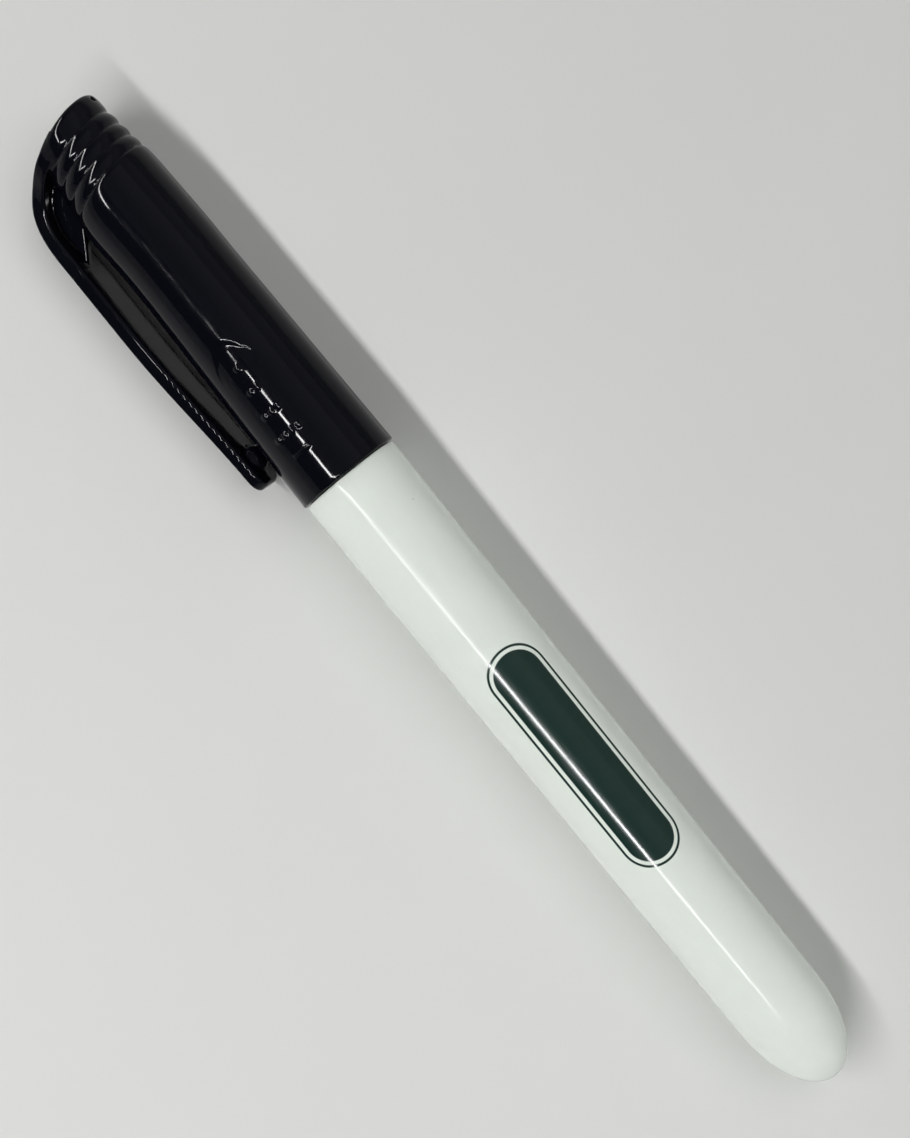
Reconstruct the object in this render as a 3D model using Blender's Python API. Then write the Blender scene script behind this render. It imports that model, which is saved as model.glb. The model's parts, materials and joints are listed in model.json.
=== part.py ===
"""Permanent marker with its cap on, lying on its side, as separate named pieces.

Marker frame: +X runs along the axis from the barrel to the closed end of the cap, x = 0 is the
front face of the barrel and +Y points at the clip. The empty marker_axis lays this frame on the
floor so that the cap mouth, the rear of the barrel and the edge of the clip all touch it.
All lengths are in metres.
"""
import math

import bmesh
import bpy
from mathutils import Vector

MM = 0.001
SEGMENTS = 64

# Clearances
RUN_GAP = 0.15 * MM      # between pieces that slide or turn on each other
FIT_GAP = 0.15 * MM      # between pieces that are pressed or glued together
SEAT_GAP = 0.15 * MM     # between faces that rest on each other

# Barrel
BARREL_FRONT_R = 6.04 * MM
BARREL_REAR_R = 5.48 * MM
BARREL_STRAIGHT = 75.0 * MM
BARREL_END = 10.7 * MM
BARREL_END_POWER = 2.15
BARREL_WALL = 1.2 * MM
FIN_COUNT = 4
FIN_THICKNESS = 0.8 * MM
FIN_SETBACK = 2.0 * MM

# Cap body
CAP_STEP = 0.16 * MM
CAP_BODY_R = 5.78 * MM
CAP_WALL = 0.85 * MM
CAP_FLARE = 18.0 * MM
CAP_LIP = 0.2 * MM
CAP_END_GAP = 0.5 * MM

# Ribbed neck and knob at the closed end of the cap
SHOULDER_RUN = 3.1 * MM
SHOULDER_LENGTH = 1.2 * MM
RIB_COUNT = 4
RIB_PITCH = 1.8 * MM
RIB_DEPTH = 0.3 * MM
RIB_RISE = 0.33
NECK_R = 5.42 * MM
NECK_TAPER = 0.122
NECK_LEAN = 0.165
NECK_LEAN_RUN = 10.0 * MM
NECK_SHIFT = 0.3 * MM
NECK_CORE_R = 3.6 * MM
NECK_CORE_END_R = 2.6 * MM
KNOB_LENGTH = 1.6 * MM
KNOB_WALL = 3.3 * MM
KNOB_ROUND = 0.5 * MM

# Hood, web and clip
CLIP_GAP = 2.72 * MM
CLIP_THICKNESS = 1.4 * MM
CLIP_WIDTH = 5.8 * MM
CLIP_TIP_WIDTH = 5.2 * MM
CLIP_TIP_X = 4.9 * MM
CLIP_TIP_ROUND = 1.6 * MM
CLIP_FLAT = 9.4 * MM
CLIP_DROP = 1.06 * MM
HOOD_DEPTH = 3.7 * MM
HOOD_LENGTH = 12.1 * MM
HOOD_SLANT = 0.27
HOOD_END_HANDLE = 10.3 * MM
HOOD_CLIP_HANDLE = 7.9 * MM
WEB_WIDTH = 1.3 * MM
WEB_FOOT = 0.4 * MM
WEB_SLANT = 3.7 * MM
ARM_SETBACK = 0.3 * MM
ARM_GAP = 0.3 * MM
BEAD_FROM_TIP = 3.3 * MM
BEAD_LENGTH = 3.4 * MM
BEAD_WIDTH = 3.0 * MM
BEAD_GAP = 0.3 * MM

# Nose section
PLUG_LENGTH = 9.0 * MM
PLUG_WALL = 0.9 * MM
PLUG_RECESS = 6.0 * MM
NIB_TUBE_WALL = 1.0 * MM
FLANGE_LENGTH = 1.05 * MM
LAND_LENGTH = 10.8 * MM
LAND_STEP = 1.0 * MM
SNAP_FROM_FLANGE = 2.8 * MM
SNAP_LENGTH = 1.2 * MM
SEAL_LENGTH = 4.0 * MM
CONE_LENGTH = 9.0 * MM
COLLAR_LENGTH = 1.0 * MM
COLLAR_WALL = 0.6 * MM

# Nib
NIB_R = 1.1 * MM
NIB_OUT = 4.2 * MM
NIB_POINT = 2.0 * MM
NIB_POINT_R = 0.5 * MM
NIB_TAIL = 5.0 * MM

# Inner cap
LINER_WALL = 0.7 * MM
LINER_MOUTH_GAP = 0.3 * MM
LINER_TIP_R = 3.1 * MM
LINER_TIP_ROOM = 5.0 * MM
LINER_END_WALL = 0.8 * MM

# Ink reservoir and its film wrap
WRAP_WALL = 0.25 * MM
WRAP_SETBACK = 0.3 * MM

# Places along the axis that follow from the sizes above
flange_x = SEAT_GAP + FLANGE_LENGTH
land_x = flange_x + LAND_LENGTH
seal_x = land_x + LAND_STEP
cone_x = seal_x + SEAL_LENGTH
collar_x = cone_x + CONE_LENGTH
nose_x = collar_x + COLLAR_LENGTH
nib_tip_x = nose_x + NIB_OUT
liner_inner_x = nib_tip_x + LINER_TIP_ROOM
liner_end_x = liner_inner_x + LINER_END_WALL
bore_end_x = liner_end_x + CAP_END_GAP
shoulder_x = bore_end_x + SHOULDER_RUN
neck_x = shoulder_x + SHOULDER_LENGTH
knob_x = neck_x + RIB_COUNT * RIB_PITCH
cap_end_x = knob_x + KNOB_LENGTH
web_top_x = shoulder_x - WEB_FOOT - WEB_SLANT
strip_end_x = web_top_x - ARM_SETBACK
arm_x = strip_end_x - ARM_GAP
arm_flat_x = arm_x - CLIP_FLAT

# Radii that follow from the sizes above
cap_mouth_r = BARREL_FRONT_R + CAP_STEP
clip_r = CAP_BODY_R + CLIP_GAP + CLIP_THICKNESS
barrel_rear_bore_r = BARREL_REAR_R - BARREL_WALL
wrap_r = barrel_rear_bore_r - FIT_GAP
core_r = wrap_r - WRAP_WALL - FIT_GAP
nib_hole_r = NIB_R + FIT_GAP
liner_r = CAP_BODY_R - CAP_WALL - FIT_GAP
liner_bore_r = liner_r - LINER_WALL
seal_r = liner_bore_r - RUN_GAP


def barrel_bore_r(x):
    """Bore of the barrel at x, which runs from 0 at the front to -BARREL_STRAIGHT."""
    share = -x / BARREL_STRAIGHT
    return BARREL_FRONT_R + (BARREL_REAR_R - BARREL_FRONT_R) * share - BARREL_WALL


def cap_r(x):
    """Outer radius of the cap body: a straight flare from the body to the mouth."""
    share = max(0.0, 1.0 - (x - SEAT_GAP) / CAP_FLARE)
    return CAP_BODY_R + (cap_mouth_r - CAP_BODY_R) * share


def cap_bore_r(x):
    return cap_r(x) - CAP_WALL


def clip_outer_y(x):
    """Height of the outer clip face over the axis: flat at the root, easing down to the tip."""
    share = min(1.0, max(0.0, (arm_flat_x - x) / (arm_flat_x - CLIP_TIP_X)))
    return clip_r - CLIP_DROP * (0.5 - 0.5 * math.cos(math.pi * share))


def clip_half_width(x):
    """Half width of the clip arm: narrowing to the tip, whose corners are rounded."""
    share = min(1.0, max(0.0, (arm_flat_x - x) / (arm_flat_x - CLIP_TIP_X)))
    into_round = max(0.0, 1.0 - (x - CLIP_TIP_X) / CLIP_TIP_ROUND)
    cut = CLIP_TIP_ROUND * (1.0 - math.sqrt(1.0 - into_round ** 2))
    return (CLIP_WIDTH + (CLIP_TIP_WIDTH - CLIP_WIDTH) * share) / 2 - cut


def hood_curve(steps):
    """Points and inward normals of the outer hood curve, from the knob end to the clip."""
    start = Vector((cap_end_x, -HOOD_DEPTH))
    end = Vector((cap_end_x - HOOD_LENGTH, clip_r))
    first = start + Vector((-HOOD_SLANT, 1.0)) * HOOD_END_HANDLE
    second = end + Vector((HOOD_CLIP_HANDLE, 0.0))
    rows = []
    for step in range(steps + 1):
        t = step / steps
        u = 1.0 - t
        point = start * u ** 3 + first * 3 * u * u * t + second * 3 * u * t * t + end * t ** 3
        slope = (first - start) * u * u + (second - first) * 2 * u * t + (end - second) * t * t
        slope.normalize()
        rows.append((point, Vector((-slope.y, slope.x))))
    return rows


# Mesh helpers

def turned(profile):
    """Solid of revolution about X. An outline that does not end on the axis is closed."""
    bm = bmesh.new()
    rings = []
    for x, r in profile:
        if r == 0.0:
            rings.append([bm.verts.new((x, 0.0, 0.0))])
            continue
        angles = [2 * math.pi * i / SEGMENTS for i in range(SEGMENTS)]
        rings.append([bm.verts.new((x, r * math.cos(a), r * math.sin(a))) for a in angles])
    if profile[0][1] > 0.0:
        rings.append(rings[0])
    for near, far in zip(rings, rings[1:]):
        for i in range(SEGMENTS):
            j = (i + 1) % SEGMENTS
            corners = [near[i % len(near)], near[j % len(near)], far[j % len(far)], far[i % len(far)]]
            bm.faces.new(list(dict.fromkeys(corners)))
    return bm


def slab(outline, half_width):
    """Plate with an outline in X and Y, reaching half_width to both sides of Z = 0."""
    bm = bmesh.new()
    low = [bm.verts.new((x, y, -half_width)) for x, y in outline]
    high = [bm.verts.new((x, y, half_width)) for x, y in outline]
    bm.faces.new(low)
    bm.faces.new(high)
    for i in range(len(outline)):
        j = (i + 1) % len(outline)
        bm.faces.new((low[i], low[j], high[j], high[i]))
    return bm


def lofted(sections):
    """Bar through a row of four-cornered sections, closed at both ends."""
    bm = bmesh.new()
    rows = [[bm.verts.new(corner) for corner in section] for section in sections]
    bm.faces.new(rows[0])
    bm.faces.new(rows[-1])
    for near, far in zip(rows, rows[1:]):
        for i in range(4):
            j = (i + 1) % 4
            bm.faces.new((near[i], near[j], far[j], far[i]))
    return bm


def piece(name, bm, parent, look=None):
    """Object made from a bmesh. Without a look it is a hidden tool for booleans."""
    bmesh.ops.recalc_face_normals(bm, faces=bm.faces)
    mesh = bpy.data.meshes.new(name)
    bm.to_mesh(mesh)
    bm.free()
    for face in mesh.polygons:
        face.use_smooth = True
    mesh.set_sharp_from_angle(angle=math.radians(35))
    obj = bpy.data.objects.new(name, mesh)
    bpy.context.scene.collection.objects.link(obj)
    obj.parent = parent
    if look is None:
        obj.hide_render = True
        obj.display_type = "WIRE"
    else:
        mesh.materials.append(look)
    return obj


def combine(obj, operation, tool):
    step = obj.modifiers.new(tool.name, "BOOLEAN")
    step.operation = operation
    step.solver = "EXACT"
    step.object = tool


def plastic(name, colour, roughness):
    look = bpy.data.materials.new(name)
    look.use_nodes = True
    shader = look.node_tree.nodes["Principled BSDF"]
    shader.inputs["Base Color"].default_value = (*colour, 1.0)
    shader.inputs["Roughness"].default_value = roughness
    shader.inputs["Metallic"].default_value = 0.0
    return look


# Pieces

def rounded_end(straight, radius, length, steps):
    """Outline of a rounded barrel end from its widest ring to the tip on the axis."""
    rows = []
    for step in range(steps + 1):
        angle = math.pi / 2 * step / steps
        rows.append((-straight - length * math.sin(angle) ** (2 / BARREL_END_POWER),
                     radius * math.cos(angle) if step < steps else 0.0))
    return rows


def make_barrel(parent):
    outer = rounded_end(BARREL_STRAIGHT, BARREL_REAR_R, BARREL_END, 10)
    inner = rounded_end(BARREL_STRAIGHT, barrel_rear_bore_r, BARREL_END - BARREL_WALL, 6)
    front = [(0.0, barrel_bore_r(0.0)), (0.0, BARREL_FRONT_R)]
    barrel = piece("barrel", turned(inner[::-1] + front + outer), parent,
                   plastic("barrel_plastic", (0.70, 0.77, 0.69), 0.28))
    for turn in range(FIN_COUNT):
        angle = 2 * math.pi * turn / FIN_COUNT
        up = Vector((0.0, math.cos(angle), math.sin(angle)))
        side = Vector((0.0, -up.z, up.y)) * FIN_THICKNESS / 2
        sections = []
        for x in (-PLUG_LENGTH - FIN_SETBACK, -BARREL_STRAIGHT):
            low = Vector((x, 0.0, 0.0)) + up * (wrap_r + FIT_GAP)
            high = Vector((x, 0.0, 0.0)) + up * (barrel_bore_r(x) + BARREL_WALL / 2)
            sections.append([low - side, low + side, high + side, high - side])
        combine(barrel, "UNION", piece(f"barrel_fin_{turn}", lofted(sections), parent))


def make_nose(parent):
    recess_x = -PLUG_LENGTH + PLUG_RECESS
    plug_end_r = barrel_bore_r(-PLUG_LENGTH) - FIT_GAP
    tube_r = nib_hole_r + NIB_TUBE_WALL
    land_r = cap_bore_r(land_x) - RUN_GAP
    snap_x = flange_x + SNAP_FROM_FLANGE
    snap_r = cap_bore_r(snap_x + SNAP_LENGTH) - RUN_GAP
    flange_r = cap_bore_r(flange_x) - RUN_GAP
    profile = [
        (-PLUG_LENGTH, nib_hole_r), (-PLUG_LENGTH, tube_r), (recess_x, tube_r),
        (recess_x, plug_end_r - PLUG_WALL), (-PLUG_LENGTH, plug_end_r - PLUG_WALL),
        (-PLUG_LENGTH, plug_end_r), (0.0, barrel_bore_r(0.0) - FIT_GAP),
        (SEAT_GAP, barrel_bore_r(0.0) - FIT_GAP), (SEAT_GAP, flange_r), (flange_x, flange_r),
        (flange_x, land_r), (snap_x, land_r), (snap_x + SNAP_LENGTH / 2, snap_r),
        (snap_x + SNAP_LENGTH, land_r), (land_x, land_r), (seal_x, seal_r), (cone_x, seal_r),
        (collar_x, nib_hole_r + COLLAR_WALL), (nose_x, nib_hole_r + COLLAR_WALL),
        (nose_x, nib_hole_r),
    ]
    piece("nose_section", turned(profile), parent, plastic("nose_plastic", (0.015, 0.015, 0.018), 0.4))


def make_nib(parent):
    tail_x = -PLUG_LENGTH - SEAT_GAP - NIB_TAIL
    point_x = nib_tip_x - NIB_POINT_R
    profile = [(tail_x, 0.0), (tail_x, NIB_R), (nib_tip_x - NIB_POINT, NIB_R)]
    profile += [(point_x + NIB_POINT_R * math.sin(a), NIB_POINT_R * math.cos(a))
                for a in (0.0, math.pi / 6, math.pi / 3)]
    profile.append((nib_tip_x, 0.0))
    piece("nib", turned(profile), parent, plastic("nib_fibre", (0.02, 0.02, 0.024), 0.85))


def make_reservoir(parent):
    front_x = -PLUG_LENGTH - SEAT_GAP
    hole_x = front_x - NIB_TAIL - SEAT_GAP
    rear_x = -BARREL_STRAIGHT
    core = [(hole_x, 0.0), (hole_x, nib_hole_r), (front_x, nib_hole_r), (front_x, core_r),
            (rear_x, core_r), (rear_x, 0.0)]
    piece("ink_reservoir", turned(core), parent, plastic("reservoir_fibre", (0.05, 0.05, 0.055), 0.9))
    wrap_bore_r = wrap_r - WRAP_WALL
    wrap = [(front_x - WRAP_SETBACK, wrap_bore_r), (front_x - WRAP_SETBACK, wrap_r),
            (rear_x + WRAP_SETBACK, wrap_r), (rear_x + WRAP_SETBACK, wrap_bore_r)]
    piece("reservoir_wrap", turned(wrap), parent, plastic("wrap_film", (0.75, 0.76, 0.74), 0.35))


def make_inner_cap(parent):
    mouth_x = seal_x + LINER_MOUTH_GAP
    tip_r = LINER_TIP_R + LINER_WALL
    profile = [
        (liner_end_x, 0.0), (liner_end_x, tip_r), (collar_x, tip_r), (cone_x, liner_r),
        (mouth_x, liner_r), (mouth_x, liner_bore_r), (cone_x, liner_bore_r),
        (collar_x, LINER_TIP_R), (liner_inner_x, LINER_TIP_R), (liner_inner_x, 0.0),
    ]
    piece("inner_cap", turned(profile), parent, plastic("liner_plastic", (0.62, 0.63, 0.60), 0.4))


def cap_outer_profile():
    rows = [(SEAT_GAP, 0.0), (SEAT_GAP, cap_mouth_r - CAP_LIP), (SEAT_GAP + CAP_LIP, cap_mouth_r),
            (SEAT_GAP + CAP_FLARE, CAP_BODY_R), (shoulder_x - NECK_LEAN_RUN, CAP_BODY_R),
            (shoulder_x, CAP_BODY_R)]
    for angle in (math.pi / 6, math.pi / 3):
        rows.append((shoulder_x + (SHOULDER_LENGTH - RIB_DEPTH) * math.sin(angle),
                     NECK_R + (CAP_BODY_R - NECK_R) * math.cos(angle)))
    for rib in range(RIB_COUNT):
        groove_x = neck_x + rib * RIB_PITCH
        crest_x = groove_x + RIB_RISE * RIB_PITCH
        crest_r = NECK_R - NECK_TAPER * (crest_x - neck_x)
        rows.append((groove_x, NECK_R - NECK_TAPER * (groove_x - neck_x) - RIB_DEPTH))
        rows.append((crest_x - RIB_DEPTH / 2, crest_r - RIB_DEPTH / 6))
        rows.append((crest_x + RIB_DEPTH / 2, crest_r))
    over_x = cap_end_x + KNOB_LENGTH
    end_r = NECK_R - NECK_TAPER * (over_x - neck_x)
    return rows + [(over_x, end_r), (over_x, 0.0)]


def make_cap(parent):
    body = turned(cap_outer_profile())
    for vert in body.verts:
        share = min(1.0, max(0.0, (vert.co.x - shoulder_x + NECK_LEAN_RUN) / NECK_LEAN_RUN))
        vert.co.x -= NECK_LEAN * share * vert.co.y
        vert.co.y += NECK_SHIFT * share
    shell = piece("cap_shell", body, parent, plastic("cap_plastic", (0.010, 0.011, 0.014), 0.22))

    curve = hood_curve(14)
    outside = [point - normal * CLIP_THICKNESS for point, normal in curve[3:]]
    inside = [point + normal * CLIP_THICKNESS for point, normal in curve[3:]]
    strip = outside + [Vector((strip_end_x, clip_r + CLIP_THICKNESS)),
                       Vector((strip_end_x, clip_r - CLIP_THICKNESS))] + inside[::-1]
    combine(shell, "UNION", piece("hood_strip", slab(strip, CLIP_WIDTH / 2), parent))

    foot_x = shoulder_x - WEB_FOOT
    web = [(foot_x, CAP_BODY_R - CAP_WALL / 2), (neck_x, NECK_R - CAP_WALL)]
    web += [point + normal * CLIP_THICKNESS / 2 for point, normal in curve if point.x < knob_x]
    web += [(web_top_x, clip_r - CLIP_THICKNESS / 2), (web_top_x, clip_r - CLIP_THICKNESS),
            (foot_x, CAP_BODY_R)]
    combine(shell, "UNION", piece("hood_web", slab(web, WEB_WIDTH / 2), parent))

    far_y = -2 * cap_mouth_r
    corner_x = cap_end_x - KNOB_ROUND
    trim = [point for point, normal in curve]
    trim += [(strip_end_x, clip_r), (-CAP_FLARE, clip_r), (-CAP_FLARE, far_y), (corner_x, far_y)]
    for angle in (math.pi / 2, math.pi / 3, math.pi / 6):
        trim.append((corner_x + KNOB_ROUND * math.cos(angle), -HOOD_DEPTH - KNOB_ROUND * math.sin(angle)))
    combine(shell, "INTERSECT", piece("hood_trim", slab(trim, 2 * cap_mouth_r), parent))

    before_x = SEAT_GAP - CAP_WALL
    bore = [(before_x, 0.0), (before_x, cap_bore_r(before_x)),
            (SEAT_GAP + CAP_FLARE, CAP_BODY_R - CAP_WALL), (bore_end_x, CAP_BODY_R - CAP_WALL),
            (shoulder_x, NECK_CORE_R), (cap_end_x - KNOB_WALL, NECK_CORE_END_R),
            (cap_end_x - KNOB_WALL, 0.0)]
    combine(shell, "DIFFERENCE", piece("cap_bore", turned(bore), parent))


def make_clip_arm(parent):
    """Free part of the clip, with its origin on the line it bends about."""
    ease = arm_flat_x - CLIP_TIP_X - CLIP_TIP_ROUND
    places = [arm_x] + [arm_flat_x - ease * i / 10 for i in range(11)]
    places += [CLIP_TIP_X + CLIP_TIP_ROUND * (1.0 - math.sin(math.pi / 2 * i / 5)) for i in range(1, 6)]
    sections = []
    for x in places:
        y, half = clip_outer_y(x), clip_half_width(x)
        sections.append([(x, y, -half), (x, y, half), (x, y - CLIP_THICKNESS, half),
                         (x, y - CLIP_THICKNESS, -half)])
    arm = lofted(sections)

    bead_x = CLIP_TIP_X + BEAD_FROM_TIP
    base_y = clip_outer_y(bead_x) - CLIP_THICKNESS / 2
    face_y = clip_outer_y(bead_x) - CLIP_THICKNESS
    height = face_y - cap_r(bead_x) - BEAD_GAP
    angles = [math.pi / 2 * i / 5 for i in range(6)]
    dome = [(0.0, 0.0), (0.0, 1.0)]
    dome += [(base_y - face_y + height * math.sin(a), math.cos(a)) for a in angles[:-1]]
    dome.append((base_y - face_y + height, 0.0))
    bead = turned(dome)
    for vert in bead.verts:
        down, along, across = vert.co
        vert.co = (bead_x + along * BEAD_LENGTH / 2, base_y - down, across * BEAD_WIDTH / 2)

    pivot = bpy.data.objects.new("clip_pivot", None)
    bpy.context.scene.collection.objects.link(pivot)
    pivot.parent = parent
    pivot.location = (strip_end_x - ARM_GAP / 2, clip_r - CLIP_THICKNESS / 2, 0.0)
    for solid in (arm, bead):
        bmesh.ops.translate(solid, verts=solid.verts, vec=-pivot.location)
    clip = piece("clip_arm", arm, pivot, plastic("clip_plastic", (0.010, 0.011, 0.014), 0.22))
    combine(clip, "UNION", piece("clip_bead", bead, pivot))


def lay_down(axis):
    """Pitch and roll the marker until cap mouth, barrel and clip edge stand on the floor."""
    pitch = math.atan2(cap_mouth_r - BARREL_REAR_R, BARREL_STRAIGHT + SEAT_GAP + CAP_LIP)
    height = cap_mouth_r * math.cos(pitch) - (SEAT_GAP + CAP_LIP) * math.sin(pitch)
    reach = math.hypot(clip_r, CLIP_WIDTH / 2)
    over_floor = height / math.cos(pitch) + arm_flat_x * math.tan(pitch)
    roll = math.asin(over_floor / reach) - math.atan2(CLIP_WIDTH / 2, clip_r)
    clip_side = clip_r * math.cos(roll) + CLIP_WIDTH / 2 * math.sin(roll)
    rear = BARREL_STRAIGHT + BARREL_END
    axis.rotation_euler = (-roll, -pitch, 0.0)
    axis.location = ((rear - cap_end_x) / 2, (cap_mouth_r - clip_side) / 2, height)


for old in list(bpy.data.objects):
    bpy.data.objects.remove(old, do_unlink=True)
marker_axis = bpy.data.objects.new("marker_axis", None)
bpy.context.scene.collection.objects.link(marker_axis)
lay_down(marker_axis)
make_barrel(marker_axis)
make_nose(marker_axis)
make_nib(marker_axis)
make_reservoir(marker_axis)
make_inner_cap(marker_axis)
make_cap(marker_axis)
make_clip_arm(marker_axis)
bpy.context.view_layer.update()
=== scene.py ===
"""Looks of the permanent marker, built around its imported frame.

Shapes are made in the marker frame, in millimetres: +X runs along the axis from the barrel to the
closed end of the cap, x = 0 is the front face of the barrel and +Y points at the clip. The cap and
the clip are surfaces of smooth distance fields, so that their walls run into each other in fillets
as mouldings do. The other pieces are turned.
"""

import json
import math

import bmesh
import bpy
import numpy as np
from mathutils import Matrix, Vector


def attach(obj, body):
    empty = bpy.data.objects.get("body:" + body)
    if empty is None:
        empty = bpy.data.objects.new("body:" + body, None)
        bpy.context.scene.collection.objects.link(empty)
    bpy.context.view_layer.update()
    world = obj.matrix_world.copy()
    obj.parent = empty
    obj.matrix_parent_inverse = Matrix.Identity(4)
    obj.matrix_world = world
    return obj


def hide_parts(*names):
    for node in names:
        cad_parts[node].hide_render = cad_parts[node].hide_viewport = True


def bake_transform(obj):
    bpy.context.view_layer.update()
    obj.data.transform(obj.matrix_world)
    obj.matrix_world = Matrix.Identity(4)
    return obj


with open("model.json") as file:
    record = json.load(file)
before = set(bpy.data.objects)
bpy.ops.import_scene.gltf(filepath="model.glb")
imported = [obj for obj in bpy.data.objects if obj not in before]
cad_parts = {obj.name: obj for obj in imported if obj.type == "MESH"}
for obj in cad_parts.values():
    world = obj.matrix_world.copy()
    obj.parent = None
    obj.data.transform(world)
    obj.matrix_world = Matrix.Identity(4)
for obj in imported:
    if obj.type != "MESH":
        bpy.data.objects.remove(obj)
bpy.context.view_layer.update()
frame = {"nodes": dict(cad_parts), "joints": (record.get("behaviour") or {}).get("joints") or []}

MM = 0.001
SEGMENTS = 192
TURNED_SHARP = 40      # least angle, in degrees, that shades as a hard edge
MOULDED_SHARP = 50
END_STEPS = 49

# Barrel
BARREL_FRONT_R = 6.04
BARREL_REAR_R = 5.48
BARREL_STRAIGHT = 75.0
BARREL_END = 10.7
BARREL_END_POWER = 2.15
BARREL_WALL = 1.2
BARREL_LIP_X = -2.0
BARREL_LIP_DROP = 0.015
PANEL_X = -40.0
PANEL_LENGTH = 28.0
PANEL_WIDTH = 5.6
PANEL_ANGLE = -29.0
PANEL_LINE = 0.28
PANEL_LINE_GAP = 0.55
PANEL_BLUR = 0.04

# Cap body
CAP_MOUTH_X = 0.15
CAP_MOUTH_R = 6.22
CAP_BODY_R = 5.78
CAP_FLARE = 28.0
FLARE_LIMIT = 1.2
BORE_FLARE = 18.0
CAP_WALL = 0.85
CAP_LIP = 0.25
BORE_MOUTH_STEP = 0.02
BORE_LIP = 0.2
BORE_LIP_RUN = 0.3
BORE_OVERRUN = 1.0
BORE_END_X = 37.5
BORE_NECK_X = 40.6
BORE_NECK_R = 3.6
BORE_TIP_X = 47.3
BORE_TIP_R = 2.6

# Shoulder, ribs and knob at the closed end of the cap
SHOULDER_X = 37.4
SHOULDER_POWER = 3.0
GROOVE_X = 41.35
GROOVE_R = 5.2
GROOVE_PITCH = 1.845
GROOVE_COUNT = 4
GROOVE_ROUND = 0.06
NECK_TAPER = 0.115
RIB_HEIGHT = 0.31
RIB_CREST = 0.41
KNOB_RIB_LENGTH = 1.5
KNOB_RIB_HEIGHT = 0.14
KNOB_STEP = 0.06
KNOB_STEP_RUN = 0.4
KNOB_EDGE = 0.8
LEAN_X = 30.6
LEAN_RUN = 10.0
LEAN = 0.24
LEAN_SHIFT = 0.3
GATE_X = 49.75
GATE_R = 0.33
GATE_FLOOR_Y = -3.75
GATE_EDGE = 0.12

# Hood, web and clip
HOOD_POINTS = ((50.6, -3.7), (47.819, 6.6), (46.4, 10.03), (38.5, 10.03))
HOOD_WIDTH = 8.4
HOOD_NARROW_Y = (3.2, 7.8)
HOOD_HOLLOW = 0.35
HOOD_HOLLOW_X = (38.5, 41.5)
STRIP_FROM_Y = 0.5
STRIP_END_X = 36.2
CLIP_Y = 10.03
CLIP_THICKNESS = 1.7
CLIP_TIP_THICKNESS = 1.4
CLIP_WIDTH = 5.8
CLIP_TIP_WIDTH = 5.2
CLIP_TIP_X = 4.9
CLIP_TIP_ROUND = 1.6
CLIP_EASE_X = 26.5
CLIP_DROP = 0.91
CLIP_EDGE = 0.22
CLIP_INNER_EDGE = 0.42
CLIP_MARKS = 0.1
CLIP_MARK_PITCH = 1.0
CLIP_MARK_X = 23.0
CLIP_MARK_RUN = 2.0
CLIP_ROOT_X = 37.6
CLIP_INSET = 0.02
CLIP_INSET_RUN = 0.2
WEB_WIDTH = 1.3
WEB_FOOT = (40.2, 5.78)
WEB_TOP = (36.5, 8.5)
WEB_FROM_Y = 4.4
WEB_TO_X = 47.0
BEAD_X = 8.2
BEAD_SIZE = (3.4, 3.0)
BEAD_GAP = 0.3
FILLET = 0.5
WEB_EDGE = 0.26
WEB_FILLET = 0.03

# Grip pattern on both sides of the cap, 90 degrees from the clip: raised dots and bar, scooped arch
DOT_R = 0.45
DOT_HEIGHT = 0.14
DOT_PITCH = 1.02
DOT_ROWS = ((16.3, 1), (13.4, 2), (10.35, 3), (7.45, 4))
ARCH_X = 19.85
ARCH_SPREAD = 1.7
ARCH_POWER = 0.4
ARCH_RAMP = (15.7, 18.6)
ARCH_FLANK = (0.65, 0.12)
ARCH_THINS = (1.9, 2.2)
ARCH_DEPTH = 0.14
ARCH_TIP = 0.15
BAR_X = 5.0
BAR_HALF_LENGTH = 1.35
BAR_FADE = 0.3
BAR_WIDTH = 0.3
BAR_HEIGHT = 0.13

# Nose section
NOSE_PLUG_X = -9.0
NOSE_PLUG_R = 4.62
NOSE_HOLE_R = 1.25
NOSE_FLANGE_FROM_X = 0.15
NOSE_FLANGE_X = 1.2
NOSE_FLANGE_R = 5.17
NOSE_LAND_X = 12.0
NOSE_LAND_R = 4.92
NOSE_SNAP_X = (4.0, 5.2)
NOSE_SNAP_R = 5.08
NOSE_SEAL_X = 13.0
NOSE_SEAL_R = 3.93
NOSE_CONE_X = 17.0
NOSE_COLLAR_X = 26.0
NOSE_COLLAR_R = 1.85
NOSE_X = 27.0

# Nib
NIB_R = 1.1
NIB_TAIL_X = -14.15
NIB_POINT_X = 29.2
NIB_TIP_X = 31.2
NIB_TIP_R = 0.5
NIB_TIP_DOME = 0.05

# Inner cap
LINER_MOUTH_X = 13.3
LINER_R = 4.78
LINER_BORE_R = 4.08
LINER_TIP_R = 3.8
LINER_TIP_BORE_R = 3.1
LINER_INNER_X = 36.2
LINER_END_X = 37.0

# Place of the marker frame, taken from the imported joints
joints = {joint["name"]: joint for joint in frame["joints"]}
axis_x = Vector(joints["cap_turn"]["axis"]).normalized()
axis_z = -Vector(joints["clip_flex"]["axis"]).normalized()
axis_y = axis_z.cross(axis_x).normalized()
mouth = Vector(joints["cap_turn"]["pos_m"])
marker_frame = Matrix((axis_x, axis_y, axis_z)).transposed().to_4x4()
marker_frame.translation = mouth - axis_x * CAP_MOUTH_X * MM


# Meshes

def as_object(name, points, faces, look):
    """Object in the marker frame from points in millimetres."""
    mesh = bpy.data.meshes.new(name)
    mesh.from_pydata((np.asarray(points) * MM).tolist(), [], [list(face) for face in faces])
    mesh.validate()
    mesh.update()
    mesh.polygons.foreach_set("use_smooth", [True] * len(mesh.polygons))
    obj = bpy.data.objects.new(name, mesh)
    bpy.context.scene.collection.objects.link(obj)
    obj.matrix_world = marker_frame
    if look is not None:
        mesh.materials.append(look)
    return obj


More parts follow.
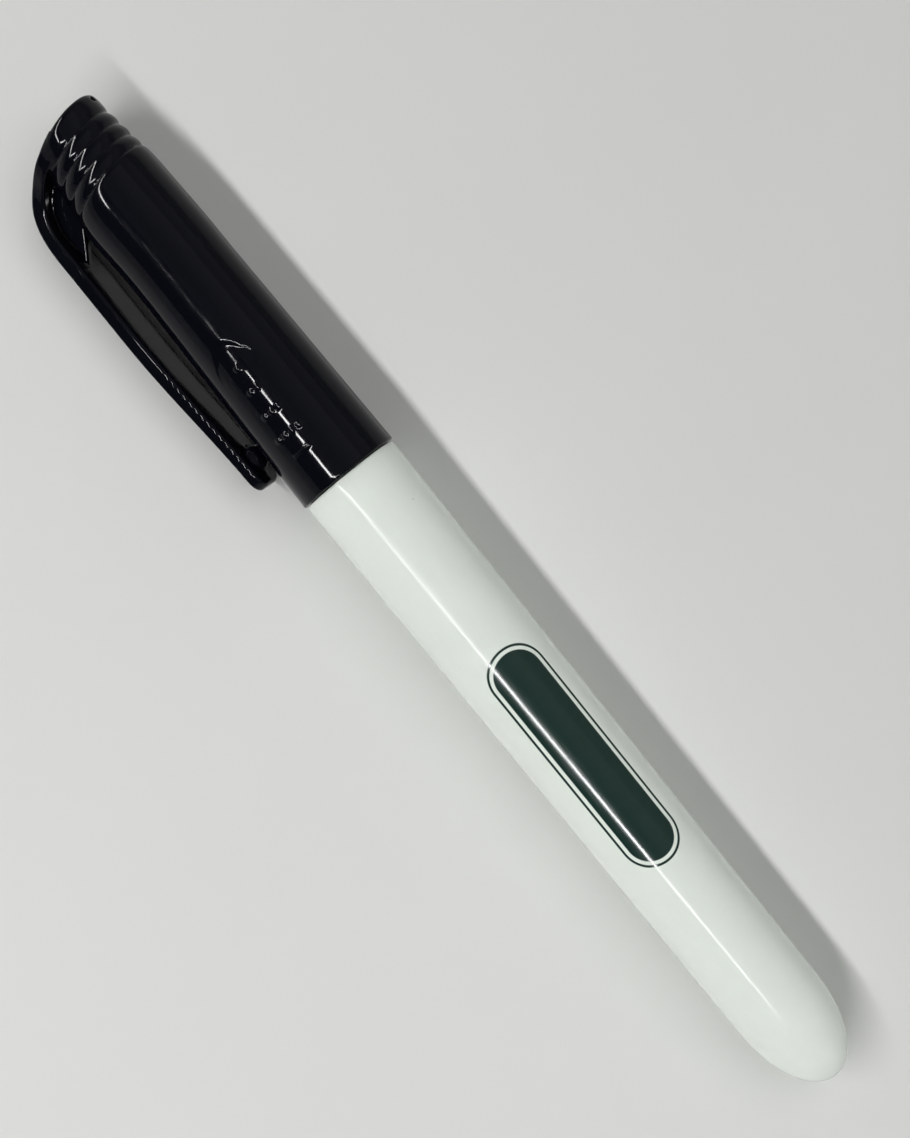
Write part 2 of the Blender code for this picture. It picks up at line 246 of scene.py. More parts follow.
def rounded(corners, steps=6):
    """Outline with arcs of the given radius in place of its corners: (x, r, radius)."""
    places = [np.array(corner[:2], float) for corner in corners]
    rows = []
    for index, (x, r, radius) in enumerate(corners):
        here = places[index]
        if radius == 0.0:
            rows.append((x, r))
            continue
        back = places[index - 1] - here
        ahead = places[(index + 1) % len(places)] - here
        back, ahead = back / np.linalg.norm(back), ahead / np.linalg.norm(ahead)
        half = math.acos(np.clip(back @ ahead, -1, 1)) / 2
        reach = radius / math.tan(half)
        middle = (back + ahead) / np.linalg.norm(back + ahead)
        centre = here + middle * radius / math.sin(half)
        first, last = here + back * reach - centre, here + ahead * reach - centre
        swing = math.pi - 2 * half
        for step in range(steps + 1):
            part = step / steps
            arm = math.sin((1 - part) * swing) * first + math.sin(part * swing) * last
            rows.append(tuple(centre + arm / math.sin(swing)))
    return rows


def turned(outline, segments=SEGMENTS):
    """Closed solid of revolution about X from an outline of (x, r)."""
    points, rings = [], []
    turn = np.linspace(0, 2 * math.pi, segments, endpoint=False)
    for x, r in outline:
        start = len(points)
        if r < 1e-9:
            points.append((x, 0.0, 0.0))
            rings.append(np.full(segments, start))
        else:
            points.extend(zip(np.full(segments, x), r * np.cos(turn), r * np.sin(turn)))
            rings.append(np.arange(start, start + segments))
    if outline[0][1] > 1e-9:
        rings.append(rings[0])
    faces = []
    for near, far in zip(rings, rings[1:]):
        for a, b, c, d in zip(near, np.roll(near, -1), np.roll(far, -1), far):
            faces.append(list(dict.fromkeys((int(a), int(b), int(c), int(d)))))
    return points, faces


def outward(obj):
    """Faces turned outwards, with hard edges only where walls really meet at an angle."""
    bm = bmesh.new()
    bm.from_mesh(obj.data)
    bmesh.ops.recalc_face_normals(bm, faces=bm.faces)
    bm.to_mesh(obj.data)
    bm.free()
    obj.data.set_sharp_from_angle(angle=math.radians(TURNED_SHARP))
    return obj


def turned_piece(name, corners, look):
    """Turned piece from corners of (x, r, radius)."""
    return outward(as_object(name, *turned(rounded(corners)), look))


def surface(field, axes):
    """Points and quads of the surface field = 0 on a grid, with the points moved onto it."""
    value = field(*np.meshgrid(*axes, indexing="ij", sparse=True))
    inside = value < 0
    cells = np.array(value.shape) - 1
    hits = np.zeros(cells.prod())
    total = np.zeros((3, cells.prod()))
    quads = []
    for axis in range(3):
        side_a, side_b = (axis + 1) % 3, (axis + 2) % 3
        near = [slice(None)] * 3
        far = [slice(None)] * 3
        near[axis], far[axis] = slice(None, -1), slice(1, None)
        start = np.argwhere(inside[tuple(near)] != inside[tuple(far)])
        stop = start.copy()
        stop[:, axis] += 1
        from_value, to_value = value[tuple(start.T)], value[tuple(stop.T)]
        place = np.stack([axes[k][start[:, k]] for k in range(3)])
        place[axis] += (from_value / (from_value - to_value)
                        * (axes[axis][stop[:, axis]] - axes[axis][start[:, axis]]))
        ring = []
        for step_a, step_b in ((0, 0), (1, 0), (1, 1), (0, 1)):
            cell = start.copy()
            cell[:, side_a] -= step_a
            cell[:, side_b] -= step_b
            flat = np.ravel_multi_index(tuple(cell.T), tuple(cells))
            hits += np.bincount(flat, minlength=len(hits))
            for k in range(3):
                total[k] += np.bincount(flat, place[k], minlength=len(hits))
            ring.append(flat)
        quad = np.stack(ring, 1)
        leaving = from_value < 0
        quads += [quad[leaving], quad[~leaving][:, ::-1]]
    used = np.flatnonzero(hits)
    number = np.full(len(hits), -1)
    number[used] = np.arange(len(used))
    points = total[:, used] / hits[used]
    tiny, flattest, longest = 1e-3, 0.05, 0.1
    for _ in range(3):
        slope = np.zeros_like(points)
        for k in range(3):
            shift = np.zeros((3, 1))
            shift[k] = tiny
            slope[k] = (field(*(points + shift)) - field(*(points - shift))) / (2 * tiny)
        steepness = np.maximum((slope ** 2).sum(0), flattest)
        points -= np.clip(field(*points) / steepness, -longest, longest) * slope
    return points.T, number[np.concatenate(quads)]


def spread(*stretches):
    """Grid places from (start, end, step) stretches that follow each other."""
    rows = [np.linspace(a, b, max(2, round((b - a) / step) + 1))[:-1] for a, b, step in stretches]
    return np.concatenate(rows + [[stretches[-1][1]]])


# Fields

def join(a, b, fillet):
    """Union of two fields with a fillet between them."""
    mix = np.maximum(fillet - np.abs(a - b), 0) / fillet
    return np.minimum(a, b) - mix * mix * fillet / 4


def trim(a, b, edge):
    """What two fields have in common, with a rounded edge."""
    return -join(-a, -b, edge)


def plate(through, across, edge):
    """Plate from its distance through and across, with rounded edges."""
    a, b = through + edge, across + edge
    return np.hypot(np.maximum(a, 0), np.maximum(b, 0)) + np.minimum(np.maximum(a, b), 0) - edge


def ease(share):
    """0 to 1 with a gentle start and end."""
    share = np.clip(share, 0, 1)
    return share * share * (3 - 2 * share)


def hood_distance(x, y):
    """Distance outside the outer hood curve, which runs straight on past both ends."""
    p0, p1, p2, p3 = (np.array(point) for point in HOOD_POINTS)

    def curve(t):
        t = t[..., None]
        u = 1 - np.clip(t, 0, 1)
        v = np.clip(t, 0, 1)
        place = p0 * u ** 3 + p1 * 3 * u * u * v + p2 * 3 * u * v * v + p3 * v ** 3
        slope = 3 * ((p1 - p0) * u * u + (p2 - p1) * 2 * u * v + (p3 - p2) * v * v)
        bend = 6 * ((p2 - 2 * p1 + p0) * u + (p3 - 2 * p2 + p1) * v) * ((t > 0) & (t < 1))
        return place + slope * (t - v), slope, bend

    x, y = np.broadcast_arrays(x, y)
    point = np.stack([x, y], -1)
    guesses = np.linspace(-0.6, 2.2, 57)
    samples = curve(guesses)[0]
    gap = ((point[..., None, :] - samples) ** 2).sum(-1)
    t = guesses[gap.argmin(-1)]
    for _ in range(4):
        place, slope, bend = curve(t)
        away = place - point
        pull = (away * slope).sum(-1)
        t = t - pull / np.maximum((slope * slope).sum(-1) + (away * bend).sum(-1), 1.0)
    place, slope, _ = curve(t)
    normal = np.stack([slope[..., 1], -slope[..., 0]], -1)
    normal = normal / np.linalg.norm(normal, axis=-1, keepdims=True)
    return ((point - place) * normal).sum(-1)


def neck_outline():
    """Places along the axis, the radius of the cap there before its neck leans, and its slope's cosine."""
    step = 0.01
    x = np.arange(-2.0, 54.0, step)
    flare = np.maximum(0, 1 - (x - CAP_MOUTH_X) / CAP_FLARE)
    r = CAP_BODY_R + (CAP_MOUTH_R - CAP_BODY_R) * np.minimum(flare, FLARE_LIMIT)
    into = np.clip((x - SHOULDER_X) / (GROOVE_X - SHOULDER_X), 0, 1)
    r -= (CAP_BODY_R - GROOVE_R) * (1 - (1 - into ** SHOULDER_POWER) ** (1 / SHOULDER_POWER))
    knob_x = GROOVE_X + GROOVE_PITCH * (GROOVE_COUNT - 1)
    groove_line = GROOVE_R - NECK_TAPER * (np.minimum(x, knob_x) - GROOVE_X)
    off_crest = (x - GROOVE_X) % GROOVE_PITCH / GROOVE_PITCH - RIB_CREST
    place = off_crest / np.where(off_crest < 0, RIB_CREST, 1 - RIB_CREST)
    ribs = groove_line + RIB_HEIGHT * (1 - place ** 2)
    knob_crest = RIB_CREST * GROOVE_PITCH
    off_crest = x - knob_x - knob_crest
    place = np.clip(off_crest / np.where(off_crest < 0, knob_crest, KNOB_RIB_LENGTH), -1, 1)
    knob = groove_line + KNOB_RIB_HEIGHT * (1 - place ** 2)
    knob += KNOB_STEP * ease((x - knob_x) / KNOB_STEP_RUN)
    r = np.where(x < GROOVE_X, r, np.where(x < knob_x, ribs, knob))
    reach = np.arange(-4 * GROOVE_ROUND, 4 * GROOVE_ROUND, step)
    blur = np.exp(-0.5 * (reach / GROOVE_ROUND) ** 2)
    r = np.convolve(np.pad(r, len(blur) // 2, mode="edge"), blur / blur.sum(), "valid")[:len(x)]
    return x, r, 1 / np.sqrt(1 + np.gradient(r, step) ** 2)


OUTLINE = neck_outline()


def grip_pattern(x, y, z):
    """Height of the raised dots and bar, or depth of the arched scoop, at a place on the cap."""
    arc = CAP_BODY_R * np.arctan2(y, np.abs(z))
    height = BAR_HEIGHT * np.exp(-((x - BAR_X) / BAR_WIDTH * 2) ** 2)
    height = height * ease((BAR_HALF_LENGTH - np.abs(arc)) / BAR_FADE)
    depth = ARCH_X - x
    reach = ARCH_SPREAD * np.maximum(depth, 0) ** ARCH_POWER
    lean = np.hypot(1, ARCH_POWER * reach / np.maximum(depth, ARCH_TIP))
    inside = (reach - np.abs(arc)) / lean
    flank = np.interp(depth, ARCH_THINS, ARCH_FLANK)
    ramp = np.clip((x - ARCH_RAMP[0]) / (ARCH_RAMP[1] - ARCH_RAMP[0]), 0, 1)
    height = height - ARCH_DEPTH * ramp * ease(inside / flank)
    for row_x, count in DOT_ROWS:
        for place in range(count):
            off_arc = arc - DOT_PITCH * (place - (count - 1) / 2)
            share = ((x - row_x) ** 2 + off_arc ** 2) / DOT_R ** 2
            height = np.maximum(height, DOT_HEIGHT * (1 - share))
    return height


def cap_field(x, y, z):
    """Cap without its bore: ribbed body, hood, web and the gate mark on the knob."""
    hood = hood_distance(x, y)
    share = ease((x - LEAN_X) / LEAN_RUN)
    for _ in range(2):
        neck_y = y - LEAN_SHIFT * share
        neck_x = x + LEAN * share * neck_y
        share = ease((neck_x - LEAN_X) / LEAN_RUN)
    reach = np.interp(neck_x, *OUTLINE[:2])
    slope = np.interp(neck_x, OUTLINE[0], OUTLINE[2])
    body = (np.hypot(neck_y, z) - reach - grip_pattern(x, y, z)) * slope
    body = trim(body, CAP_MOUTH_X - x, CAP_LIP)
    body = trim(body, hood, KNOB_EDGE)

    narrow = ease((y - HOOD_NARROW_Y[0]) / (HOOD_NARROW_Y[1] - HOOD_NARROW_Y[0]))
    half = (HOOD_WIDTH + (CLIP_WIDTH - HOOD_WIDTH) * narrow) / 2
    edge = np.where(hood > -CLIP_THICKNESS / 2, CLIP_EDGE, CLIP_INNER_EDGE)
    hollow = ease((x - HOOD_HOLLOW_X[0]) / (HOOD_HOLLOW_X[1] - HOOD_HOLLOW_X[0]))
    wall = CLIP_THICKNESS - HOOD_HOLLOW * hollow * (1 - np.minimum((z / half) ** 2, 1))
    strip = plate(np.abs(hood + wall / 2) - wall / 2, np.abs(z) - half, edge)
    strip = np.maximum(strip, np.maximum(STRIP_END_X - x, STRIP_FROM_Y - y))
    run = np.array(WEB_TOP) - np.array(WEB_FOOT)
    run = run / np.linalg.norm(run)
    slant = -run[1] * (x - WEB_FOOT[0]) + run[0] * (y - WEB_FOOT[1])
    web = np.maximum(slant, hood + CLIP_THICKNESS / 2)
    web = np.maximum(web, np.maximum(WEB_FROM_Y - y, x - WEB_TO_X))
    web = trim(web, np.abs(z) - WEB_WIDTH / 2, WEB_EDGE)
    solid = join(join(body, strip, FILLET), web, WEB_FILLET)
    gate = np.maximum(np.hypot(x - GATE_X, z) - GATE_R, y - GATE_FLOOR_Y)
    return trim(solid, -gate, GATE_EDGE)


def clip_share(x):
    """Share of the way from the straight root of the clip to its tip."""
    return np.clip((CLIP_EASE_X - x) / (CLIP_EASE_X - CLIP_TIP_X), 0, 1)


def clip_faces(x):
    """Height of the outer and the inner face of the clip, which both drop a little towards its tip."""
    drop = 0.5 - 0.5 * np.cos(math.pi * clip_share(x))
    outer_y = CLIP_Y - CLIP_DROP * drop
    return outer_y, outer_y - CLIP_THICKNESS - (CLIP_TIP_THICKNESS - CLIP_THICKNESS) * drop


def clip_field(x, y, z):
    """Clip arm with a faintly wavy inner edge and a bead under its tip."""
    outer_y, inner_y = clip_faces(x)
    half = (CLIP_WIDTH + (CLIP_TIP_WIDTH - CLIP_WIDTH) * clip_share(x)) / 2
    plan = plate(CLIP_TIP_X - x, np.abs(z) - half, CLIP_TIP_ROUND)
    off_middle = y - (outer_y + inner_y) / 2
    marks = CLIP_MARKS * np.cos(2 * math.pi * x / CLIP_MARK_PITCH)
    marks = marks * ease((CLIP_MARK_X - x) / CLIP_MARK_RUN)
    edge = np.where(off_middle > 0, CLIP_EDGE, CLIP_INNER_EDGE + marks)
    arm = plate(np.abs(off_middle) - (outer_y - inner_y) / 2, plan, edge)
    arm = arm + CLIP_INSET * ease((x - STRIP_END_X) / CLIP_INSET_RUN + 1)
    face_y = clip_faces(BEAD_X)[1]
    height = face_y - np.interp(BEAD_X, *OUTLINE[:2]) - BEAD_GAP
    size = np.sqrt(((x - BEAD_X) / BEAD_SIZE[0] * 2) ** 2 + ((y - face_y) / height) ** 2
                   + (z / BEAD_SIZE[1] * 2) ** 2)
    bead = (size - 1) * height
    return np.maximum(join(arm, bead, FILLET), x - CLIP_ROOT_X)


# Materials

def node(tree, kind, sockets=None, output=0, **settings):
    """Output of a new node. A socket takes a number, a colour or another output."""
    made = tree.nodes.new("ShaderNode" + kind)
    for name, value in settings.items():
        setattr(made, name, value)
    for socket, value in (sockets or {}).items():
        if isinstance(value, bpy.types.NodeSocket):
            tree.links.new(value, made.inputs[socket])
        else:
            made.inputs[socket].default_value = value
    return made.outputs[output]


def maths(tree, operation, *values):
    return node(tree, "Math", dict(enumerate(values)), operation=operation)


def mixed(tree, share, first, second):
    return node(tree, "Mix", {0: share, 6: first, 7: second}, output=2, data_type="RGBA")


def ranged(tree, value, low, high, to_low, to_high):
    return node(tree, "MapRange", {"Value": value, "From Min": low, "From Max": high,
                                   "To Min": to_low, "To Max": to_high})


def places(tree, stretch=(1.0, 1.0, 1.0)):
    """The piece's own coordinates in millimetres, stretched by a factor on each axis."""
    own = node(tree, "TexCoord", output=3)
    scale = tuple(factor / MM for factor in stretch)
    return node(tree, "Mapping", {"Vector": own, "Scale": scale})


def noise(tree, at, scale, detail=3.0, roughness=0.5):
    return node(tree, "TexNoise", {"Vector": at, "Scale": scale, "Detail": detail,
                                   "Roughness": roughness})


def specks(tree, at, spacing, radius, share):
    """1 on small round specks, one in some of the cells of that spacing."""
    cell = {"Vector": at, "Scale": 1 / spacing}
    near = node(tree, "TexVoronoi", cell)
    chance = node(tree, "TexVoronoi", cell, output=1)
    inside = ranged(tree, near, radius / spacing, 0.6 * radius / spacing, 0.0, 1.0)
    kept = maths(tree, "LESS_THAN", node(tree, "SeparateColor", {0: chance}), share)
    return maths(tree, "MULTIPLY", inside, kept)


def new_look(name, **sockets):
    look = bpy.data.materials.new(name)
    look.use_nodes = True
    shader = look.node_tree.nodes["Principled BSDF"]
    for socket, value in sockets.items():
        shader.inputs[socket.replace("_", " ")].default_value = value
    return look, look.node_tree, shader


def colour(r, g, b):
    return (r, g, b, 1.0)


def bumped(tree, shader, height, distance):
    """Normal from a height of 0 to 1 that stands for this many millimetres."""
    made = node(tree, "Bump", {"Height": height, "Strength": 1.0, "Distance": distance * MM})
    tree.links.new(made, shader.inputs["Normal"])


def gloss_black(name):
    """Black moulded plastic: faint flow marks, hairline wear and a few grains of dust."""
    look, tree, shader = new_look(name, IOR=1.24)
    at = places(tree)
    flow = noise(tree, places(tree, (0.25, 1.0, 1.0)), 0.35)
    base = mixed(tree, flow, colour(0.0022, 0.0026, 0.0046), colour(0.0032, 0.0037, 0.0062))
    dust = specks(tree, at, 4.5, 0.07, 0.22)
    base = mixed(tree, dust, base, colour(0.30, 0.31, 0.32))
    tree.links.new(base, shader.inputs["Base Color"])
    hairs = noise(tree, places(tree, (0.3, 6.0, 6.0)), 1.4, 2.0)
    worn = ranged(tree, hairs, 0.5, 0.72, 0.0, 0.04)
    cloudy = ranged(tree, noise(tree, at, 0.5), 0.3, 0.7, 0.05, 0.09)
    gloss = maths(tree, "ADD", worn, cloudy)
    gloss = maths(tree, "ADD", gloss, maths(tree, "MULTIPLY", dust, 0.4))
    tree.links.new(gloss, shader.inputs["Roughness"])
    peel = noise(tree, at, 0.9, 1.0)
    bumped(tree, shader, peel, 0.004)
    return look


def printed_field(tree):
    """1 on a plain capsule panel with a thin line round it, on the side of the barrel that lies up."""
    x, y, z = node(tree, "SeparateXYZ", {0: places(tree)}).node.outputs
    turn = maths(tree, "SUBTRACT", maths(tree, "ARCTAN2", y, z), math.radians(PANEL_ANGLE))
    around = maths(tree, "ABSOLUTE", maths(tree, "MULTIPLY", turn, BARREL_REAR_R))
    along = maths(tree, "ABSOLUTE", maths(tree, "SUBTRACT", x, PANEL_X))
    past_end = maths(tree, "SUBTRACT", along, (PANEL_LENGTH - PANEL_WIDTH) / 2)
    past_end = maths(tree, "MAXIMUM", past_end, 0.0)
    squares = (maths(tree, "POWER", past_end, 2.0), maths(tree, "POWER", around, 2.0))
    reach = maths(tree, "SQRT", maths(tree, "ADD", *squares))
    off_line = maths(tree, "ABSOLUTE", maths(tree, "SUBTRACT", reach, PANEL_WIDTH / 2 + PANEL_LINE_GAP))

    def within(distance, half):
        return ranged(tree, distance, half + PANEL_BLUR, half - PANEL_BLUR, 0.0, 1.0)

    return maths(tree, "MAXIMUM", within(reach, PANEL_WIDTH / 2), within(off_line, PANEL_LINE / 2))


def pale_barrel(name):
    """Pale mint-white plastic with a plain printed field, a little handling grime and dust."""
    look, tree, shader = new_look(name, IOR=1.49, Subsurface_Scale=2.5 * MM,
                                  Subsurface_Radius=(1.0, 1.0, 1.0))
    at = places(tree)
    cloud = noise(tree, places(tree, (0.3, 1.0, 1.0)), 0.22, 4.0)
    base = mixed(tree, cloud, colour(0.797, 0.890, 0.792), colour(0.842, 0.930, 0.837))
    grime = ranged(tree, noise(tree, at, 0.12, 5.0, 0.6), 0.56, 0.8, 0.0, 0.18)
    base = mixed(tree, grime, base, colour(0.62, 0.66, 0.60))
    dust = specks(tree, at, 7.0, 0.09, 0.16)
    base = mixed(tree, dust, base, colour(0.30, 0.32, 0.31))
    printed = printed_field(tree)
    blotch = noise(tree, at, 0.8)
    ink = mixed(tree, blotch, colour(0.0085, 0.026, 0.021), colour(0.012, 0.032, 0.026))
    tree.links.new(mixed(tree, printed, base, ink), shader.inputs["Base Color"])
    tree.links.new(ranged(tree, printed, 0.0, 1.0, 0.9, 0.0), shader.inputs["Subsurface Weight"])
    tree.links.new(ranged(tree, printed, 0.0, 1.0, 0.078, 0.3), shader.inputs["Specular IOR Level"])
    hairs = noise(tree, places(tree, (0.2, 5.0, 5.0)), 1.2, 2.0)
    worn = ranged(tree, hairs, 0.5, 0.75, 0.0, 0.08)
    gloss = maths(tree, "ADD", ranged(tree, cloud, 0.3, 0.7, 0.1, 0.16), worn)
    tree.links.new(gloss, shader.inputs["Roughness"])
    bumped(tree, shader, noise(tree, at, 0.7, 1.0), 0.004)
    return look


def satin_black(name):
    """Black satin plastic with a fine grain."""
    look, tree, shader = new_look(name, IOR=1.38)
    at = places(tree)
    cloud = noise(tree, at, 0.6)
    base = mixed(tree, cloud, colour(0.006, 0.006, 0.008), colour(0.012, 0.012, 0.015))
    tree.links.new(base, shader.inputs["Base Color"])
    grain = noise(tree, at, 2.0)
    tree.links.new(ranged(tree, grain, 0.3, 0.7, 0.32, 0.46), shader.inputs["Roughness"])
    bumped(tree, shader, noise(tree, at, 6.0, 2.0), 0.006)
    return look


def fibre(name, dark, light):
    """Fibres along the axis, soaked with ink."""
    look, tree, shader = new_look(name)
    strands = noise(tree, places(tree, (0.15, 9.0, 9.0)), 1.2, 3.0)
    tree.links.new(mixed(tree, strands, dark, light), shader.inputs["Base Color"])
    tree.links.new(ranged(tree, strands, 0.3, 0.7, 0.95, 0.65), shader.inputs["Roughness"])
    bumped(tree, shader, strands, 0.03)
    return look


def milky(name, dark, light, low, high):
    """Natural, slightly cloudy plastic."""
    look, tree, shader = new_look(name, IOR=1.49)
    at = places(tree)
    cloud = noise(tree, at, 0.4, 4.0)
    tree.links.new(mixed(tree, cloud, dark, light), shader.inputs["Base Color"])
    tree.links.new(ranged(tree, cloud, 0.3, 0.7, low, high), shader.inputs["Roughness"])
    bumped(tree, shader, noise(tree, at, 3.0, 2.0), 0.004)
    return look


# Pieces

def make_barrel():
    sweep = np.linspace(0, math.pi / 2, END_STEPS)

    def end(radius, length):
        x = -BARREL_STRAIGHT - length * np.sin(sweep) ** (2 / BARREL_END_POWER)
        r = radius * np.cos(sweep)
        r[-1] = 0.0
        return list(zip(x, r))

    bore_r = BARREL_FRONT_R - BARREL_WALL
    front = rounded([(BARREL_LIP_X, bore_r, 0.0), (0.0, bore_r, 0.1), (0.0, BARREL_FRONT_R, 0.18),
                     (BARREL_LIP_X, BARREL_FRONT_R - BARREL_LIP_DROP, 0.0)])
    bore = end(BARREL_REAR_R - BARREL_WALL, BARREL_END - BARREL_WALL)[::-1]
    outline = bore + front + end(BARREL_REAR_R, BARREL_END)
    barrel = outward(as_object("barrel_tube", *turned(outline), pale_barrel("barrel_plastic_look")))
    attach(barrel, "marker")
    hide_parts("barrel")


def make_nose():
    snap_low, snap_high = NOSE_SNAP_X
    corners = [
        (NOSE_PLUG_X, NOSE_HOLE_R, 0.0), (NOSE_PLUG_X, NOSE_PLUG_R, 0.2),
        (NOSE_FLANGE_FROM_X, NOSE_PLUG_R, 0.0), (NOSE_FLANGE_FROM_X, NOSE_FLANGE_R, 0.12),
        (NOSE_FLANGE_X, NOSE_FLANGE_R, 0.15), (NOSE_FLANGE_X, NOSE_LAND_R, 0.08),
        (snap_low, NOSE_LAND_R, 0.3), ((snap_low + snap_high) / 2, NOSE_SNAP_R, 0.6),
        (snap_high, NOSE_LAND_R, 0.3), (NOSE_LAND_X, NOSE_LAND_R, 0.25),
        (NOSE_SEAL_X, NOSE_SEAL_R, 0.25), (NOSE_CONE_X, NOSE_SEAL_R, 0.8),
        (NOSE_COLLAR_X, NOSE_COLLAR_R, 0.8), (NOSE_X, NOSE_COLLAR_R, 0.2), (NOSE_X, NOSE_HOLE_R, 0.08),
    ]
    nose = turned_piece("nose_cone", corners, satin_black("nose_plastic_look"))
    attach(nose, "marker")
    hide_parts("nose_section")


def make_nib():
    corners = [(NIB_TAIL_X, 0.0, 0.0), (NIB_TAIL_X, NIB_R, 0.15), (NIB_POINT_X, NIB_R, 1.2),
               (NIB_TIP_X - NIB_TIP_DOME, NIB_TIP_R, 0.3), (NIB_TIP_X, 0.0, 0.0)]
    look = fibre("nib_fibre_look", colour(0.008, 0.008, 0.010), colour(0.03, 0.03, 0.036))
    nib = turned_piece("nib_point", corners, look)
    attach(nib, "marker")
    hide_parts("nib")


def make_liner():
    corners = [
        (LINER_END_X, 0.0, 0.0), (LINER_END_X, LINER_TIP_R, 0.4), (NOSE_COLLAR_X, LINER_TIP_R, 1.0),
        (NOSE_CONE_X, LINER_R, 1.0), (LINER_MOUTH_X, LINER_R, 0.2), (LINER_MOUTH_X, LINER_BORE_R, 0.15),
        (NOSE_CONE_X, LINER_BORE_R, 1.0), (NOSE_COLLAR_X, LINER_TIP_BORE_R, 1.0),
        (LINER_INNER_X, LINER_TIP_BORE_R, 0.5), (LINER_INNER_X, 0.0, 0.0),
    ]
    look = milky("liner_plastic_look", colour(0.56, 0.57, 0.54), colour(0.66, 0.67, 0.64), 0.34, 0.46)
    liner = turned_piece("liner_sleeve", corners, look)
    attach(liner, "liner")
    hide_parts("inner_cap")


def cap_bore():
    """Outline of what is cut out of the cap, which starts a little before its mouth."""
    start_x = CAP_MOUTH_X - BORE_OVERRUN
    mouth_r = CAP_MOUTH_R - BORE_MOUTH_STEP - CAP_WALL
    lip_r = mouth_r + BORE_LIP
    inner_r = CAP_BODY_R - CAP_WALL
    return rounded([
        (start_x, 0.0, 0.0), (start_x, lip_r, 0.0), (CAP_MOUTH_X, lip_r, 0.0),
        (CAP_MOUTH_X + BORE_LIP_RUN, mouth_r, 0.2), (CAP_MOUTH_X + BORE_FLARE, inner_r, 0.0),
        (BORE_END_X, inner_r, 0.5), (BORE_NECK_X, BORE_NECK_R, 0.8), (BORE_TIP_X, BORE_TIP_R, 0.5),
        (BORE_TIP_X, 0.0, 0.0),
    ])


def make_cap(look):
    """Cap from its field, on a grid that is finer at the grip pattern, the ribs and the hood."""
    grid = (
        spread((-0.6, 3.9, 0.25), (3.9, 20.4, 0.14), (20.4, 36.0, 0.45), (36.0, 51.6, 0.16)),
        spread((-6.8, -2.9, 0.22), (-2.9, 2.9, 0.125), (2.9, 5.6, 0.22), (5.6, 7.8, 0.15),
               (7.8, 10.4, 0.13)),
        spread((-6.8, -3.2, 0.2), (-3.2, -2.4, 0.12), (-2.4, 2.4, 0.16), (2.4, 3.2, 0.12),
               (3.2, 6.8, 0.2)),
    )
    cap = as_object("cap_body", *surface(cap_field, grid), look)
    bore = outward(as_object("cap_bore", *turned(cap_bore()), None))
    cut = cap.modifiers.new("bore", "BOOLEAN")
    cut.operation = "DIFFERENCE"
    cut.solver = "MANIFOLD"
    cut.object = bore
    evaluated = cap.evaluated_get(bpy.context.evaluated_depsgraph_get())
    made = bpy.data.meshes.new_from_object(evaluated)
    cap.modifiers.clear()
    cap.data = made
    bpy.data.objects.remove(bore)
    made.polygons.foreach_set("use_smooth", [True] * len(made.polygons))
    made.set_sharp_from_angle(angle=math.radians(MOULDED_SHARP))
    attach(cap, "cap")
    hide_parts("cap_shell")


def make_clip(look):
    """Clip from its field, which runs from its root at the hood to its free tip."""
    grid = (
        spread((4.3, 23.0, 0.12), (23.0, 35.0, 0.3), (35.0, 38.2, 0.15)),
        spread((5.2, 10.4, 0.12)),
        spread((-3.3, -2.3, 0.12), (-2.3, 2.3, 0.2), (2.3, 3.3, 0.12)),
    )
    clip = as_object("clip_spring", *surface(clip_field, grid), look)
    clip.data.set_sharp_from_angle(angle=math.radians(MOULDED_SHARP))
    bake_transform(clip)
    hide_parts("clip_arm")


def redress(node_name, look):
    """Gives a piece that stays as it is in the frame a finished material."""
    mesh = frame["nodes"][node_name].data
    mesh.materials.clear()
    mesh.materials.append(look)


make_barrel()
make_nose()
make_nib()
make_liner()
black = gloss_black("cap_plastic_look")
make_cap(black)
make_clip(black)
bundle = fibre("reservoir_fibre_look", colour(0.03, 0.03, 0.034), colour(0.08, 0.08, 0.088))
redress("ink_reservoir", bundle)
film = milky("wrap_film_look", colour(0.68, 0.69, 0.67), colour(0.80, 0.81, 0.79), 0.28, 0.4)
redress("reservoir_wrap", film)


# Camera

CAMERA_PLACE = (0.0021, -0.0045, 0.2712)
CAMERA_RIGHT = Vector((-0.629, -0.777, 0.0)).normalized()
CAMERA_LENS = 75.67

camera_data = bpy.data.cameras.new("camera")
camera_data.lens = CAMERA_LENS
camera_data.clip_start = 0.01
camera = bpy.data.objects.new("camera", camera_data)
bpy.context.scene.collection.objects.link(camera)
camera_up = Vector((0, 0, 1)).cross(CAMERA_RIGHT)
view_axes = Matrix((CAMERA_RIGHT, camera_up, Vector((0, 0, 1)))).transposed()
camera.matrix_world = Matrix.Translation(CAMERA_PLACE) @ view_axes.to_4x4()
bpy.context.scene.camera = camera


# Floor that rises to a low backdrop far away

FLOOR_INNER_R = 400.0
FLOOR_R = 2200.0
BACKDROP_R = 3400.0
BACKDROP_Z = 1200.0
FLOOR_SEGMENTS = 96
BACKDROP_STEPS = 13
# Painted light and shade on the floor: paler towards the key lamp on the clip side, greyer far away
PAINTED_LIGHT_Y = (-150.0, 150.0)
PAINTED_LIGHT = (0.84, 1.12)
FAR_R = (200.0, 900.0)
FAR_PAINTED_SHADE = 0.85


